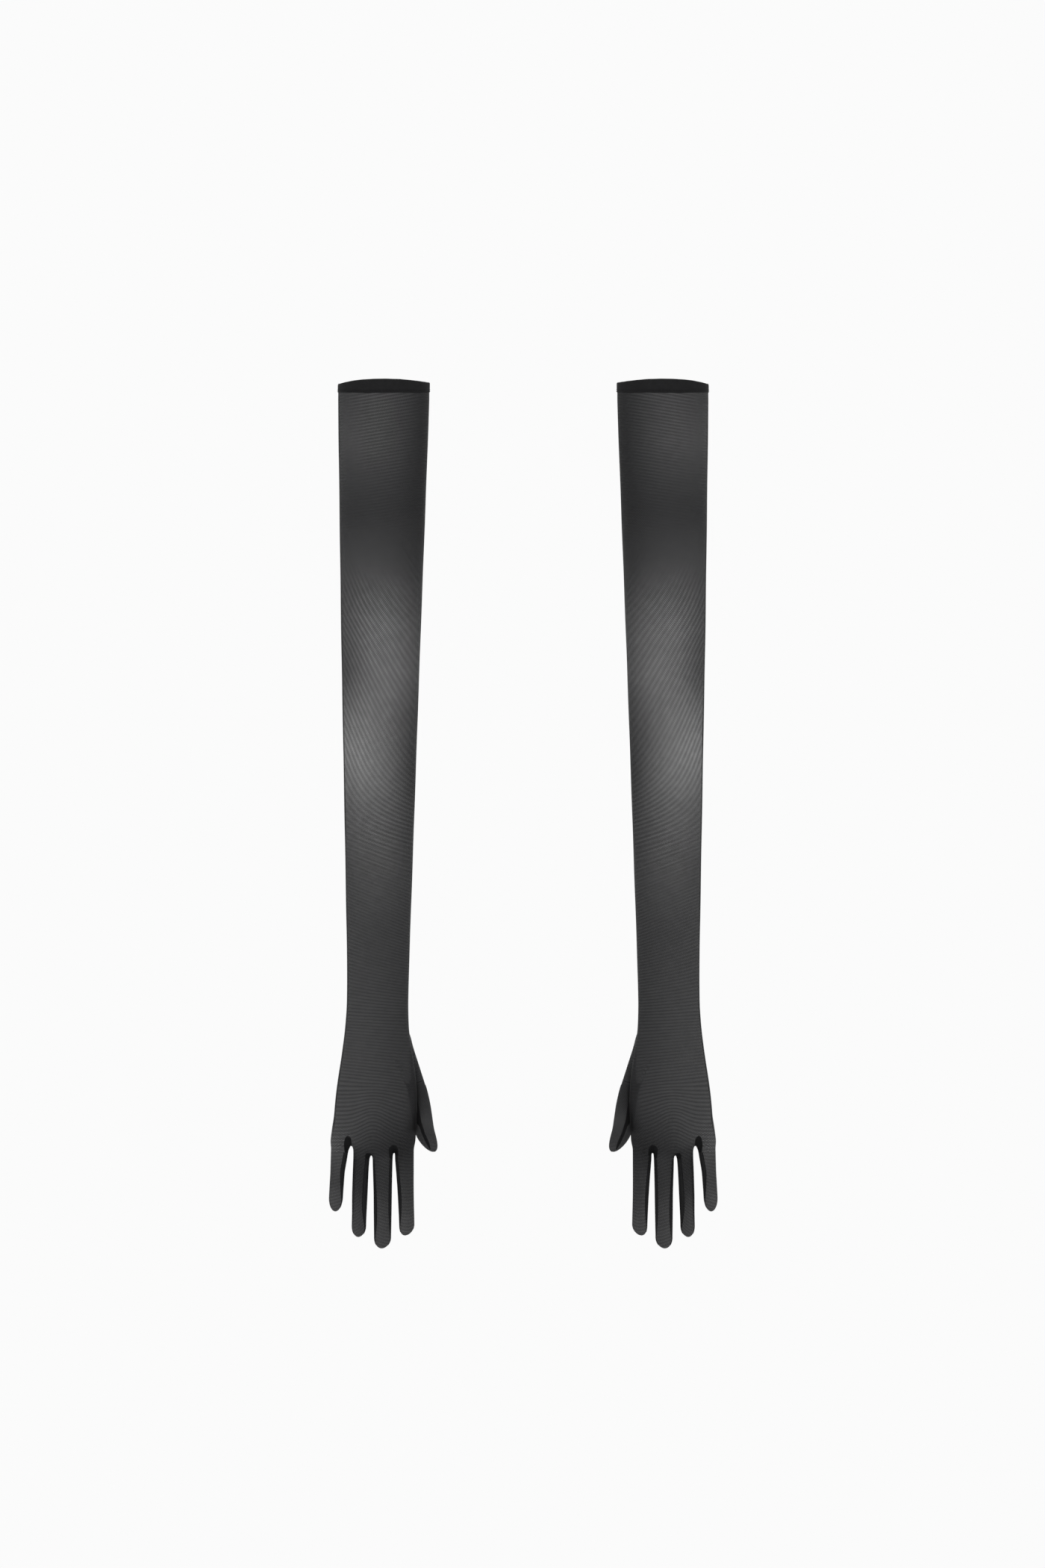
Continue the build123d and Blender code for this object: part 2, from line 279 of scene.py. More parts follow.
class Curves:
    """Smoothed columns of a table of stations, read at any height."""

    def __init__(self, stations, blur):
        table = np.array(sorted(stations), float)
        self.z = np.arange(table[0, 0], table[-1, 0] + 0.25, 0.5)
        reach = int(blur * 6)
        kernel = np.exp(-0.5 * (np.arange(-reach, reach + 1) * 0.5 / blur) ** 2)
        kernel /= kernel.sum()
        self.columns = []
        for column in table[:, 1:].T:
            raw = np.interp(self.z, table[:, 0], column)
            # Straight ends: the smoothing reads a reflected, not a repeated, neighbour.
            padded = np.concatenate([2 * raw[0] - raw[reach:0:-1], raw, 2 * raw[-1] - raw[-2:-reach - 2:-1]])
            self.columns.append(np.convolve(padded, kernel, mode="valid"))

    def __call__(self, z):
        return [np.interp(z, self.z, c) for c in self.columns]


ARM_CURVES = Curves(ARM, 5.0)
ARM_TONE_AND_LIGHT_CURVES = Curves(TONES, 6.0)
FINGER_CURVES = {name: Curves(f["edges"], 3.0) for name, f in FINGERS.items()}
THUMB_CURVES = Curves(THUMB, 3.0)


def arm_section(z):
    """Centre x, half width and half depth of arm and hand at height z."""
    left, right, deep = ARM_CURVES(z)
    return (left + right) / 2, (right - left) / 2, deep


def finger_section(name, z):
    """Centre x, centre y, half width and half depth of a finger at height z."""
    f = FINGERS[name]
    left, right = FINGER_CURVES[name](z)
    end = f["dome"] - f["tip"]
    share = np.clip((f["root"] - z) / (f["root"] - end), 0, 1)
    wide = (right - left) / 2 + FINGER_EASE
    return (left + right) / 2, FINGER_CURL * share, wide, wide * (FINGER_DEPTH - FINGER_TAPER * share)


def thumb_section(z):
    """Centre x, centre y, half width and half depth of the thumb at height z."""
    left, right, y, deep = THUMB_CURVES(z)
    return (left + right) / 2, y, (right - left) / 2, deep


# ---- distance field of the whole glove
def ellipse_distance(dx, dy, wide, deep, dz=0.0, tall=1.0):
    """Near enough the distance to an ellipse, or to an ellipsoid where the height counts too."""
    k0 = np.sqrt((dx / wide) ** 2 + (dy / deep) ** 2 + (dz / tall) ** 2)
    k1 = np.sqrt((dx / wide**2) ** 2 + (dy / deep**2) ** 2 + (dz / tall**2) ** 2)
    return k0 * (k0 - 1) / np.maximum(k1, 1e-6)


def soft_min(a, b, k):
    """The smaller of two distances, rounded where they are closer than k."""
    h = np.maximum(k - np.abs(a - b), 0)
    return np.minimum(a, b) - h * h / (4 * np.maximum(k, 1e-6))


def arm_distance(x, y, z):
    """Arm and palm, ending in the web between the fingers. The back is flatter than the palm."""
    centre, wide, deep = arm_section(z)
    dx = x - centre
    hand = smoothstep(-505, -560, z)
    square = 1 - 0.05 * hand * np.abs(dx / wide) ** 2
    body = ellipse_distance(dx, y * square, wide, deep)
    web_x, web_z = zip(*WEB)
    end = np.interp(x, web_x, web_z) - z
    return -soft_min(-body, -end, WEB_SOFTNESS)


def finger_distance(name, x, y, z):
    """One finger, an oval tube that ends in a dome."""
    f = FINGERS[name]
    cx, cy, wide, deep = finger_section(name, z)
    below = np.minimum(z - f["dome"], 0)
    cx = cx + f["lean"] * (below / f["tip"]) ** 2
    above = np.maximum(z - FINGER_START, 0)
    return ellipse_distance(x - cx, y - cy, wide, deep, below + above, f["tip"])


def thumb_distance(x, y, z):
    """The thumb, an oval tube that ends in a dome."""
    cx, cy, wide, deep = thumb_section(z)
    below = np.minimum(z - THUMB_DOME, 0)
    above = np.maximum(z - THUMB_START, 0)
    return ellipse_distance(x - cx, y - cy, wide, deep, below + above, THUMB_TIP)


def hand_distance(x, y, z):
    """Arm, palm and fingers, without the thumb."""
    fingers = finger_distance("little", x, y, z)
    for name in ("ring", "middle", "index"):
        fingers = soft_min(fingers, finger_distance(name, x, y, z), FINGER_SOFTNESS)
    return soft_min(arm_distance(x, y, z), fingers, WEB_SOFTNESS)


def glove_distance(p):
    """Signed distance of the glove's cloth. Small puckers stand round the finger crotches."""
    x, y, z = p[..., 0], p[..., 1], p[..., 2]
    behind = smoothstep(-568, -542, z) * smoothstep(7, 15, y)
    join = THUMB_SOFTNESS * np.maximum(behind, smoothstep(-534, -515, z)) + 0.01
    whole = soft_min(hand_distance(x, y, z), thumb_distance(x, y, z), join)
    return whole + puckers(x, y, z)


def puckers(x, y, z):
    """Shallow gathers that run up from each crotch, and a very slight unevenness of the cloth."""
    dip = 0.0
    for cx, cz in GATHERS:
        reach = bell(x, cx, 7.0) * bell(z, cz + 6.0, 9.0)
        dip = dip + 0.35 * reach * np.sin((x - cx) * 1.5 + 0.2 * (z - cz))
    ripple = np.sin(0.09 * x + 0.051 * z + 1.3) * np.sin(0.083 * y - 0.037 * z)
    return dip + 0.12 * ripple


def slopes(field, p, step=0.05):
    """Gradient of a distance field at points."""
    rows = []
    for axis in range(3):
        shift = np.zeros(3)
        shift[axis] = step
        rows.append((field(p + shift) - field(p - shift)) / (2 * step))
    return np.stack(rows, -1)


def onto_surface(p, field=glove_distance, rounds=4):
    """Points moved along the gradient until they lie on the surface."""
    for _ in range(rounds):
        g = slopes(field, p)
        p = p - (field(p) / np.maximum((g * g).sum(-1), 1e-6))[:, None] * g
    return p


def surface_net(low, high, step, field):
    """Quads round the zero level of a distance field: one vertex in each grid cell that it crosses."""
    axes = [np.arange(a, b + step, step) for a, b in zip(low, high)]
    grid = np.stack(np.meshgrid(*axes, indexing="ij"), -1)
    inside = field(grid) < 0
    shape = [n - 1 for n in inside.shape]
    count = np.zeros(shape, int)
    for i, j, k in np.ndindex(2, 2, 2):
        count += inside[i:i + shape[0], j:j + shape[1], k:k + shape[2]]
    crossed = (count > 0) & (count < 8)
    number = np.full(shape, -1)
    number[crossed] = np.arange(crossed.sum())
    points = np.array(low) + (np.argwhere(crossed) + 0.5) * step
    quads = []
    for axis in range(3):
        a, b = [n for n in range(3) if n != axis]
        first = [slice(1, -1)] * 3
        second = [slice(1, -1)] * 3
        first[axis] = slice(0, -1)
        second[axis] = slice(1, None)
        here, there = inside[tuple(first)], inside[tuple(second)]
        for way in (True, False):
            cells = np.argwhere((here != there) & (here == way))
            cells[:, a] += 1
            cells[:, b] += 1
            ring = []
            for da, db in ((0, 0), (-1, 0), (-1, -1), (0, -1)):
                at = cells.copy()
                at[:, a] += da
                at[:, b] += db
                ring.append(number[tuple(at.T)])
            quad = np.stack(ring, -1)
            outward = way if axis != 1 else not way
            quads.append(quad if outward else quad[:, ::-1])
    faces = np.concatenate(quads)
    return points, faces[(faces >= 0).all(1)]


def evened(points, faces, rounds):
    """Vertices drawn towards their neighbours and put back on the surface, so that the quads are even."""
    edges = np.concatenate([faces[:, [i, (i + 1) % 4]] for i in range(4)])
    for _ in range(rounds):
        total = np.zeros_like(points)
        share = np.zeros(len(points))
        for a, b in ((0, 1), (1, 0)):
            np.add.at(total, edges[:, a], points[edges[:, b]])
            np.add.at(share, edges[:, a], 1)
        points = onto_surface(0.4 * points + 0.6 * total / share[:, None], rounds=1)
    return points


# ---- cloth maps: sheerness and knitted courses
def arm_tone_with_painted_light(x, z):
    """Wished tone of arm and palm, 0 to 255, with painted light and shade, bent through the outer, middle and
    inner values.
    """
    outer, middle, inner = ARM_TONE_AND_LIGHT_CURVES(z)
    centre, wide, _ = arm_section(z)
    s = np.clip((x - centre) / wide, -1, 1) / 0.75
    return middle + s * (inner - outer) / 2 + s * s * ((inner + outer) / 2 - middle)


def crease_shade(x, z):
    """Tone taken off at the fold between hand and thumb: a dark line with a soft shade beside it."""
    heights, place, depth = np.array(sorted(THUMB_CREASE_SHADE)).T
    off = x - np.interp(z, heights, place)
    return np.interp(z, heights, depth) * (0.65 * bell(off, 0, 1.5) + 0.35 * bell(off, -1, 5.0))


def wished_tone(points, part):
    """How light two layers of mesh look over white, 0 to 255, painted light and shade included, for a piece
    of one part of the glove.
    """
    x, z = points[:, 0], points[:, 2]
    if part == "thumb":
        return np.interp(z, *np.array(sorted(THUMB_TONES)).T) - crease_shade(x, z)
    tone = arm_tone_with_painted_light(x, z)
    share = smoothstep(-597, -611, z)
    for name, f in FINGERS.items():
        cx, _, wide, _ = finger_section(name, z)
        s = np.clip((x - cx) / wide, -1, 1)
        along = np.interp(z, *np.array(sorted(f["tone"])).T)
        # Painted highlight: 5 lighter down one side of each finger towards its tip.
        own = along + 5 * smoothstep(-612, -640, z) * bell(s, -0.5, 0.4)
        mine = (x > f["reach"][0]) & (x <= f["reach"][1]) if part == "arm" else part == name
        tone = np.where(mine, share * own + (1 - share) * tone, tone)
    return tone - (crease_shade(x, z) if part == "arm" else 0.0)


def light_of(tone):
    """Linear light of a display tone."""
    return ((tone / 255 + 0.055) / 1.055) ** 2.4


def gloss_of(tone):
    """Light that the yarn itself gives back: less where the cloth lies in shade."""
    return np.minimum(GLOSS, 0.72 * light_of(tone))


def layer_openness(tone):
    """Share of light that one layer lets through, for a wished tone of two layers over white."""
    return np.sqrt(np.clip((light_of(tone) - gloss_of(tone)) / WHITE, 0.0004, 0.8))


def line_size(tone, strength):
    """Change of openness that makes lines of one strength in tone."""
    light = light_of(tone)
    return 1.1 * strength * light / (light - gloss_of(tone))


def course_table():
    """Heights, turns counted from the lowest height, slant and strength of the courses."""
    heights, pitch, slant, strength = np.array(COURSES).T
    z = np.arange(heights[0], heights[-1], 0.5)
    turns = np.cumsum(0.5 / np.interp(z, heights, pitch))
    lean = np.interp(z, heights, slant / pitch)
    return z, turns, lean, np.interp(z, heights, strength)


def course_line(x, z, part):
    """Phase of the knitted courses. They arch above the middle finger, fall towards the thumb and tilt on the
    fingers."""
    heights, turns, lean, _ = course_table()
    arch = 7.5 * smoothstep(-548, -580, z) * bell(x, -118, 12)
    fall = 0.006 * np.clip(x + 116, 0, 26) ** 2 * smoothstep(-530, -568, z)
    tilt = 0.0
    if part in FINGERS:
        cx, _, wide, _ = finger_section(part, z)
        s = (x - cx) / wide
        tilt = (1.6 * s + 1.4 * s * s * smoothstep(-640, -665, z)) * smoothstep(-600, -620, z)
    if part == "thumb":
        tilt = -0.25 * (x + 80)
    level = z - arch + fall - tilt
    return np.interp(level, heights, turns) + np.interp(z, heights, lean) * (x - WRIST_X)


def course_strength(x, z, facing):
    """The courses fade beside the thumb. On the hand they show on the back, and hardly on the palm."""
    heights, _, _, strength = course_table()
    beside = smoothstep(-97, -88, x) * smoothstep(-530, -548, z) * smoothstep(-606, -592, z)
    palm = smoothstep(-400, -480, z) * smoothstep(0.2, -0.2, facing)
    return np.interp(z, heights, strength) * (1 - 0.85 * beside) * (1 - 0.9 * palm)


def bias_line(x, z):
    """Phase of the slanting lines on the stretched part of the sleeve, closer together on the outer side."""
    run = 26.0 * np.log(1 + 0.0105 * (x - ARM_X))
    z_steps = np.arange(-420, 20, 1.0)
    angle = np.radians(27 + 42 * smoothstep(-280, -365, z_steps) + 6 * bell(z_steps, -185, 20))
    rise = np.interp(z, z_steps, np.cumsum(np.sin(angle)) / 3.5)
    return rise + np.interp(z, z_steps, np.cos(angle)) * run


def bias_strength(x, z):
    """The slanting lines show most where the sleeve is stretched."""
    outer = 0.05 * smoothstep(-114, -130, x) * smoothstep(-335, -290, z)
    low = 0.045 * bell(z, -345, 32) * smoothstep(-128, -108, x)
    return (0.068 + outer + low) * smoothstep(-120, -175, z) * smoothstep(-430, -350, z)


def add_object(name, data):
    """A new object in the scene."""
    made = bpy.data.objects.new(name, data)
    bpy.context.scene.collection.objects.link(made)
    return made


def write_tones(mesh, points, part):
    """What the sheer cloth's material reads: openness and shade, which carry the painted light and shade of
    the tones, and phase and size of both kinds of lines.
    """
    tone = wished_tone(points, part)
    x, z = points[:, 0], points[:, 2]
    normals = np.zeros(len(points) * 3, np.float32)
    mesh.vertices.foreach_get("normal", normals)
    values = {
        "open": layer_openness(tone),
        "shade": gloss_of(tone) / GLOSS,
        "course": course_line(x, z, part),
        "course_size": line_size(tone, course_strength(x, z, -normals[1::3])),
        "bias": bias_line(x, z),
        "bias_size": line_size(tone, bias_strength(x, z)),
    }
    for name, numbers in values.items():
        layer = mesh.attributes.new(name, "FLOAT", "POINT")
        layer.data.foreach_set("value", np.asarray(numbers, np.float32))


def weave_centre(points, part):
    """Centre x and y of the tube at each point, and the radius that the weave is laid out on."""
    z = points[:, 2]
    if part == "arm":
        return arm_section(z)[0], 0.0, 30.0
    cx, cy, _, _ = thumb_section(z) if part == "thumb" else finger_section(part, z)
    return cx, cy, 7.0 if part == "thumb" else 6.0


def write_weave(mesh, points, part):
    """UV map in centimetres of cloth: across is the way round the tube, up is along it."""
    cx, cy, size = weave_centre(points, part)
    angle = np.arctan2(points[:, 0] - cx, -(points[:, 1] - cy))
    corner = np.zeros(len(mesh.loops), int)
    mesh.loops.foreach_get("vertex_index", corner)
    turn = angle[corner]
    starts = np.zeros(len(mesh.polygons), int)
    mesh.polygons.foreach_get("loop_start", starts)
    highest = np.maximum.reduceat(turn, starts)
    counts = np.diff(np.append(starts, len(turn)))
    over = np.repeat(highest, counts) - turn > math.pi
    turn = np.where(over, turn + 2 * math.pi, turn)
    layer = mesh.uv_layers.new(name="weave")
    uv = np.stack([turn * size * 0.1, points[corner, 2] * 0.1], -1)
    layer.data.foreach_set("uv", uv.astype(np.float32).ravel())


def build_mesh(name, points, faces, side, material):
    """A mesh object of one side's glove, from the right glove's points in millimetres."""
    flip = side == "left"
    placed = points * np.array([-MM if flip else MM, MM, MM])
    rows = [list(map(int, f))[::-1] if flip else list(map(int, f)) for f in faces]
    mesh = bpy.data.meshes.new(name)
    mesh.from_pydata(placed.tolist(), [], rows)
    mesh.update()
    mesh.polygons.foreach_set("use_smooth", [True] * len(mesh.polygons))
    mesh.materials.append(material)
    return add_object(name, mesh)


def rings_mesh(rings, closed=False, capped=False):
    """Quads between rings of equal length, and faces over the first and the last."""
    number, count = len(rings), len(rings[0])
    faces = []
    for i in range(number if closed else number - 1):
        j = (i + 1) % number
        for k in range(count):
            m = (k + 1) % count
            faces.append((i * count + k, j * count + k, j * count + m, i * count + m))
    if capped:
        last = (number - 1) * count
        faces += [tuple(range(count)), tuple(range(last, last + count))[::-1]]
    return np.concatenate(rings), faces


def turned(mesh):
    """The same mesh with its faces the other way out."""
    points, faces = mesh
    return points, [f[::-1] for f in faces]


def tube(line, radius, sides=6, closed=False):
    """Points and quads of a thin tube along a line of points."""
    line = np.asarray(line, float)
    after = np.roll(line, -1, 0)
    before = np.roll(line, 1, 0)
    if not closed:
        after[-1], before[0] = line[-1], line[0]
    along = after - before
    along /= np.linalg.norm(along, axis=1)[:, None]
    helper = np.where(np.abs(along[:, 1:2]) > 0.9, [[1.0, 0.0, 0.0]], [[0.0, 1.0, 0.0]])
    first = np.cross(along, helper)
    first /= np.linalg.norm(first, axis=1)[:, None]
    second = np.cross(along, first)
    turn = np.arange(sides) * 2 * math.pi / sides
    ring = np.cos(turn)[None, :, None] * first[:, None] + np.sin(turn)[None, :, None] * second[:, None]
    return turned(rings_mesh(line[:, None] + radius * ring, closed, not closed))


def joined(parts):
    """Several point and face lists as one."""
    points, faces, base = [], [], 0
    for p, f in parts:
        points.append(p)
        faces += [tuple(i + base for i in face) for face in f]
        base += len(p)
    return np.concatenate(points), faces


def place(piece, side, bodies, nodes, slot, start=None, end=None):
    """Puts a piece on its one body, or leaves a piece that spans two bodies unparented with its transform
    baked in, and hides the CAD parts that it stands for.
    """
    names = [f"{side}_{b}" for b in bodies]
    if len(names) == 1:
        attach(piece, names[0])
    else:
        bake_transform(piece)
    if nodes:
        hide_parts(*[f"{side}_{n}" for n in nodes])


# ---- materials
class Nodes:
    """A material's node tree, with short calls for the few kinds used here."""

    def __init__(self, name):
        self.material = bpy.data.materials.new(name)
        self.material.use_nodes = True
        self.tree = self.material.node_tree
        self.tree.nodes.clear()

    def add(self, kind, **settings):
        node = self.tree.nodes.new(kind)
        for key, value in settings.items():
            setattr(node, key, value)
        return node

    def link(self, source, target):
        self.tree.links.new(source, target)

    def math(self, operation, a, b=None, c=None):
        node = self.add("ShaderNodeMath", operation=operation)
        for socket, value in zip(node.inputs, (a, b, c)):
            if value is None:
                continue
            if isinstance(value, (int, float)):
                socket.default_value = value
            else:
                self.link(value, socket)
        return node.outputs[0]

    def finish(self, shader):
        """The material, with its surface linked."""
        self.link(shader.outputs[0], self.add("ShaderNodeOutputMaterial").inputs["Surface"])
        return self.material

    def attribute(self, name):
        return self.add("ShaderNodeAttribute", attribute_name=name).outputs["Fac"]

    def wave(self, phase):
        """Sine of a phase given in whole turns."""
        return self.math("SINE", self.math("MULTIPLY", phase, 2 * math.pi))


def weave_pattern(nodes):
    """Diamond mesh: 0 on the yarns and 1 in the middle of a hole."""
    uv = nodes.add("ShaderNodeUVMap", uv_map="weave").outputs[0]
    split = nodes.add("ShaderNodeSeparateXYZ")
    nodes.link(uv, split.inputs[0])
    across = nodes.math("MULTIPLY", split.outputs[0], 10 / WEAVE_PITCH * math.cos(WEAVE_ANGLE))
    up = nodes.math("MULTIPLY", split.outputs[1], 10 / WEAVE_PITCH * math.sin(WEAVE_ANGLE))
    one = nodes.wave(nodes.math("MULTIPLY", nodes.math("ADD", across, up), 0.5))
    two = nodes.wave(nodes.math("MULTIPLY", nodes.math("SUBTRACT", across, up), 0.5))
    return nodes.math("ABSOLUTE", nodes.math("MULTIPLY", one, two))


def finish_cloth(nodes, colour, openness, height, roughness, depth):
    """Principled cloth. Its openness, where it has one, lets the light through."""
    shader = nodes.add("ShaderNodeBsdfPrincipled")
    shader.inputs["Roughness"].default_value = roughness
    shader.inputs["Specular IOR Level"].default_value = SPECULAR
    nodes.link(colour, shader.inputs["Base Color"])
    if openness is not None:
        nodes.link(nodes.math("SUBTRACT", 1.0, openness), shader.inputs["Alpha"])
    bump = nodes.add("ShaderNodeBump")
    bump.inputs["Strength"].default_value = BUMP
    bump.inputs["Distance"].default_value = depth
    nodes.link(height, bump.inputs["Height"])
    nodes.link(bump.outputs[0], shader.inputs["Normal"])
    return nodes.finish(shader)


def tinted(nodes, low, high, share):
    """Colour between two greys by a share."""
    ramp = nodes.add("ShaderNodeMix", data_type="RGBA")
    ramp.inputs[6].default_value = (*low, 1)
    ramp.inputs[7].default_value = (*high, 1)
    nodes.link(share, ramp.inputs[0])
    return ramp.outputs[2]


def grain(nodes, scale):
    """Soft noise in the object's own space."""
    where = nodes.add("ShaderNodeTexCoord").outputs["Object"]
    noise = nodes.add("ShaderNodeTexNoise")
    noise.inputs["Scale"].default_value = scale
    noise.inputs["Detail"].default_value = 3.0
    nodes.link(where, noise.inputs["Vector"])
    return noise.outputs[0]


def sheer_material():
    """Single layer of black power mesh: yarn, holes, courses and slanting lines."""
    n = Nodes("sheer_mesh")
    hole = weave_pattern(n)
    uneven = n.math("SUBTRACT", grain(n, 160.0), 0.5)
    lines = n.math("MULTIPLY_ADD", n.wave(n.attribute("course")), n.attribute("course_size"), 1.0)
    lines = n.math("MULTIPLY_ADD", n.wave(n.attribute("bias")), n.attribute("bias_size"), lines)
    lines = n.math("MULTIPLY_ADD", uneven, 0.35, lines)
    gaps = n.math("MULTIPLY_ADD", hole, 0.9, 0.635)
    openness = n.math("MULTIPLY", n.math("MULTIPLY", n.attribute("open"), lines), gaps)
    facing = n.add("ShaderNodeLayerWeight")
    facing.inputs["Blend"].default_value = EDGE_BLEND
    openness = n.math("MULTIPLY", openness, n.math("SUBTRACT", 1.0, facing.outputs["Facing"]))
    yarn = tinted(n, (0.026, 0.026, 0.027), (0.012, 0.012, 0.0125), hole)
    # The shade attribute darkens the yarn's colour: painted shade where the wished tone is dark.
    shaded = n.add("ShaderNodeVectorMath", operation="SCALE")
    n.link(yarn, shaded.inputs[0])
    n.link(n.attribute("shade"), shaded.inputs["Scale"])
    return finish_cloth(n, shaded.outputs[0], openness, n.math("SUBTRACT", 1.0, hole), 0.62, 0.00012)


def doubled_material(name, share, dark, light):
    """Mesh lying double, as in the hem and the strips between the fingers."""
    n = Nodes(name)
    hole = weave_pattern(n)
    uneven = grain(n, 220.0)
    openness = n.math("MULTIPLY", n.math("MULTIPLY_ADD", hole, 0.9, 0.6), share)
    colour = tinted(n, dark, light, uneven)
    return finish_cloth(n, colour, openness, n.math("SUBTRACT", 1.0, hole), 0.7, 0.00015)


def plain_material(name, colour, roughness, scale, depth):
    """Dense yarn or tape: dark, with a fine grain."""
    n = Nodes(name)
    uneven = grain(n, scale)
    light = tuple(c * 1.7 for c in colour)
    return finish_cloth(n, tinted(n, colour, light, uneven), None, uneven, roughness, depth)


# ---- hem and sleeve
def ring_points(z, count, out=0.0):
    """A level ring round the arm at height z, outside the cloth by so much."""
    centre, wide, deep = arm_section(np.asarray(z, float))
    turn = np.arange(count) * 2 * math.pi / count
    x = centre + (wide + out) * np.sin(turn)
    y = -(deep + out) * np.cos(turn)
    return np.stack([x, y, np.full(count, float(z))], -1)


def hem_wave(size):
    """Slight unevenness of a sewn edge, in millimetres."""
    turn = np.arange(HEM_POINTS) * 2 * math.pi / HEM_POINTS
    return size * (np.sin(5 * turn + 0.4) + 0.7 * np.sin(11 * turn + 2.0) + 0.5 * np.sin(23 * turn)) / 2.2


def rim_rise(ring):
    """Height of the arched rim: highest at front and back, lowest at the outer side."""
    centre, wide, _ = arm_section(np.asarray(0.0))
    s = (ring[:, 0] - centre) / wide
    fall = np.where(s < 0, 4.4 * np.abs(s) ** 2.6, 3.1 * s**2)
    return RIM_TOP - fall


def hem_rings():
    """The turned hem: up the outside, over the fold and down the inside."""
    profile = [(0.00, 1.07), (0.22, 1.04), (0.30, 0.98), (0.20, 0.88), (0.27, 0.78), (0.24, 0.6), (0.24, 0.4),
               (0.20, 0.15), (0.10, 0.05), (-0.15, 0.0), (-0.7, -0.01), (-1.2, 0.03), (-1.4, 0.1),
               (-1.45, 0.4), (-1.45, 0.8), (-1.35, 0.96), (-1.1, 1.0)]
    rings = []
    for out, share in profile:
        ring = ring_points(HEM_LOW * share, HEM_POINTS, out)
        top = rim_rise(ring) + hem_wave(0.10)
        low = HEM_LOW + hem_wave(HEM_WAVE)
        ring[:, 2] = top + share * (low - top) + HEM_TILT * ring[:, 1]
        rings.append(ring)
    return rings


def elastic_mesh():
    """Flat tape inside the fold of the hem."""
    rings = []
    for out, z in ((-0.2, -0.6), (-0.8, -0.6), (-0.8, -5.9), (-0.2, -5.9)):
        ring = ring_points(z, 180, out)
        ring[:, 2] += HEM_TILT * ring[:, 1]
        rings.append(ring)
    return rings_mesh(rings, True)


def hem_stitches():
    """Two rows of short stitches round the hem, each a small capsule of thread."""
    parts = []
    pitch = 2 * math.pi / STITCHES
    half = 0.35 * pitch
    wave = np.interp(np.arange(STITCHES) / STITCHES, np.arange(HEM_POINTS) / HEM_POINTS, hem_wave(HEM_WAVE))
    for row, low in enumerate((HEM_LOW + 1.4, HEM_LOW + 0.1)):
        centre, wide, deep = arm_section(np.asarray(low))
        for i in range(STITCHES):
            turn = (i + 0.5 * row) * pitch
            line = []
            for share, lift in ((-1, 0.1), (-0.6, 0.38), (0, 0.46), (0.6, 0.38), (1, 0.1)):
                angle = turn + share * half
                y = -(deep + lift) * math.cos(angle)
                line.append((centre + (wide + lift) * math.sin(angle), y, low + wave[i] + HEM_TILT * y))
            parts.append(tube(line, 0.19, 5))
    return joined(parts)


def sleeve_mesh():
    """Cloth of the sleeve, from under the hem to the split above the wrist."""
    rings = []
    for z in np.linspace(HEM_LOW + HEM_LAP, SPLIT_Z, 170):
        ring = ring_points(z, 160, -0.1 * smoothstep(-14, -8, z))
        if z < -12:
            ring = onto_surface(ring, glove_distance, 2)
        ring[:, 2] = z + HEM_TILT * ring[:, 1] * smoothstep(-60, -8, z)
        rings.append(ring)
    return rings_mesh(rings)


def seam_mesh(top, bottom, taper):
    """Overlocked seam allowance inside the cloth, on the little finger's side. It narrows over the last part
    of its length."""
    heights = np.linspace(top, bottom, int((top - bottom) / 3) + 1)
    section = ((-1.6, -0.35), (-0.9, -0.25), (0.9, -0.25), (1.6, -0.35), (1.5, -0.85), (0.0, -1.05),
               (-1.5, -0.85))
    rings = []
    for i, z in enumerate(heights):
        centre, wide, deep = arm_section(z)
        wobble = 0.12 * math.sin(i * 2.1)
        share = min(max((z - bottom) / taper, 0.25), 1.0) if taper else 1.0
        ring = []
        for y, out in section:
            edge = centre - wide * math.sqrt(1 - (y * share / deep) ** 2)
            ring.append((edge - out * share, y * share + wobble, z))
        rings.append(np.array(ring))
    return turned(rings_mesh(rings, capped=True))


# ---- hand, fingers and thumb
def strip_run(name, z):
    """Share of a strip's length that lies above height z."""
    f = FINGERS[name]
    whole = f["root"] - f["dome"] + f["tip"]
    return np.clip((f["root"] - z) / (STRIP_LENGTH * whole), 0, 1)


def strip_front(name, side, z):
    """How far a strip reaches round to the back of the hand at height z."""
    wide, kept = FINGERS[name]["strips"][side]
    run = strip_run(name, z)
    return wide * (1 - (1 - kept) * run) * (1 - run**6)


def strip_back(name, z):
    """How far a strip reaches round to the palm side at height z."""
    return STRIP_BACK * (1 - strip_run(name, z) ** 4)


def strip_field(name, points):
    """Negative on a finger's strips, positive on the rest of the finger."""
    z = points[:, 2]
    cx, cy, _, _ = finger_section(name, z)
    field = np.full(len(points), 1.0)
    for side in FINGERS[name]["strips"]:
        here = (points[:, 0] - cx) * side > 0
        across = points[:, 1] - cy
        inside = np.maximum(-strip_front(name, side, z) - across, across - strip_back(name, z))
        field = np.where(here, inside, field)
    return field


def crotch_field(points):
    """Negative where the strips run up above the crotches."""
    x, z = points[:, 0], points[:, 2]
    field = np.full(len(points), 1.0)
    edge = 0.05 * np.sin(1.3 * x + 0.6 * z)
    for cx, cz, wide, tall in CROTCHES:
        field = np.minimum(field, np.sqrt(((x - cx) / wide) ** 2 + ((z - cz) / tall) ** 4) - 1 + edge)
    return field


def thumb_strip_field(points):
    """Negative on the dark strip on the back of the thumb."""
    x, y, z = points[:, 0], points[:, 1], points[:, 2]
    heights, left, right = np.array(sorted(THUMB_STRIP)).T
    inside = np.maximum(np.interp(z, heights, left) - x, x - np.interp(z, heights, right))
    outside = (z > heights[-1]) | (z < heights[0]) | (y > thumb_section(z)[1])
    return np.where(outside, 1.0, inside)


